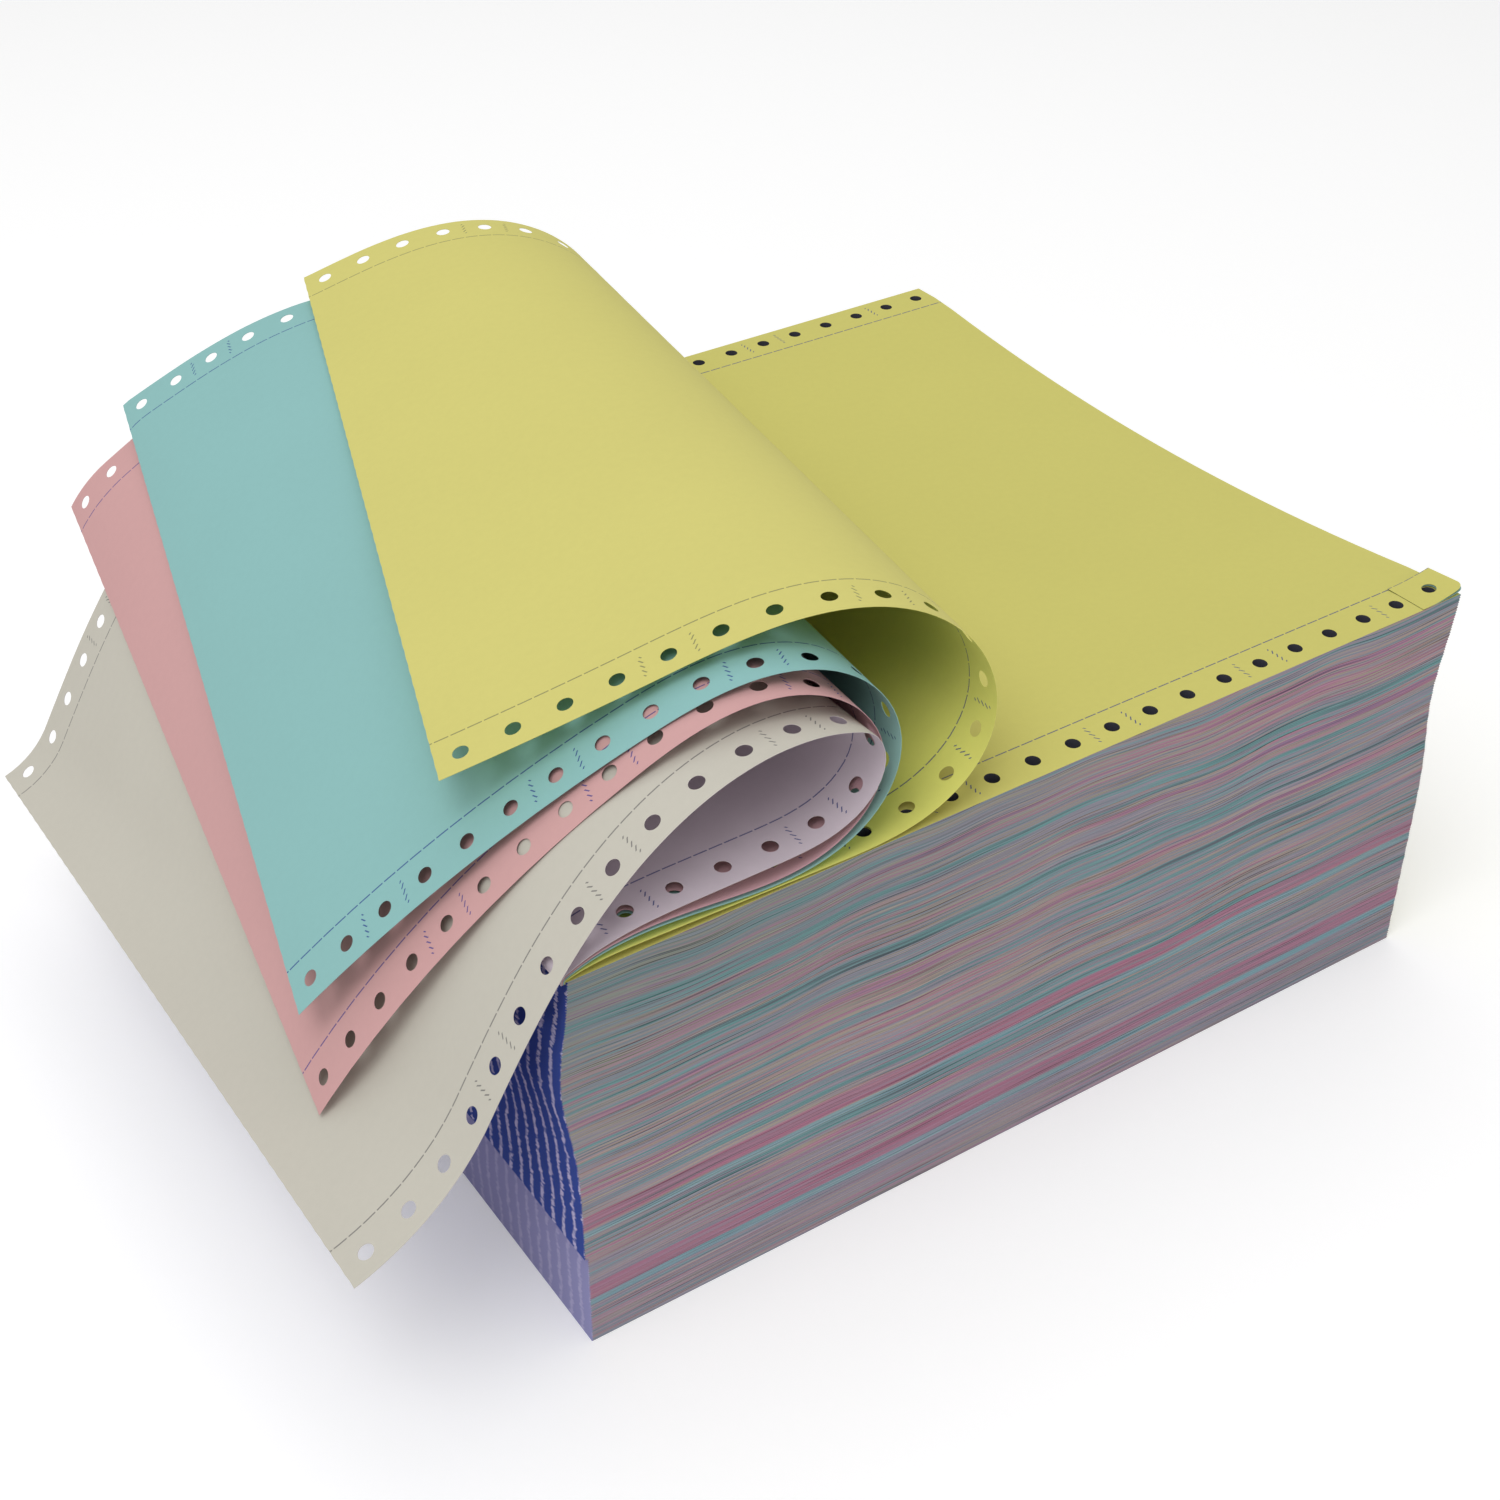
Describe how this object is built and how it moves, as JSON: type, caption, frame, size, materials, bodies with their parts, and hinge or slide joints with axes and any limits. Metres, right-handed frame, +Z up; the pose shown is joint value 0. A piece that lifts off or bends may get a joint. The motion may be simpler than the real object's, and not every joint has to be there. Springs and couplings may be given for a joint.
{
  "type": "carbonless computer paper",
  "caption": "Stack of fan-folded four-part carbonless computer paper with sprocket-hole edges, its top plies curled over to show white, pink, blue and yellow.",
  "frame": {"origin": "centre of the stack's underside, on the surface it stands on", "axes": "+X runs along the web from the left folds, where the curled plies hang over, to the right folds; +Y runs across the web from the front edge to the back; +Z is up"},
  "size_m": [0.3369, 0.2862, 0.1796],
  "materials": {
    "stack_paper": "matt cut edges of coloured plies",
    "yellow_paper": "matt yellow paper",
    "blue_paper": "matt blue paper",
    "pink_paper": "matt pink paper",
    "white_paper": "matt off-white paper"
  },
  "bodies": {
    "root": {"fanfold_stack": "stack_paper", "yellow_leaf": "yellow_paper", "blue_leaf": "blue_paper", "pink_leaf": "pink_paper", "white_leaf": "white_paper"}
  },
  "joints": []
}
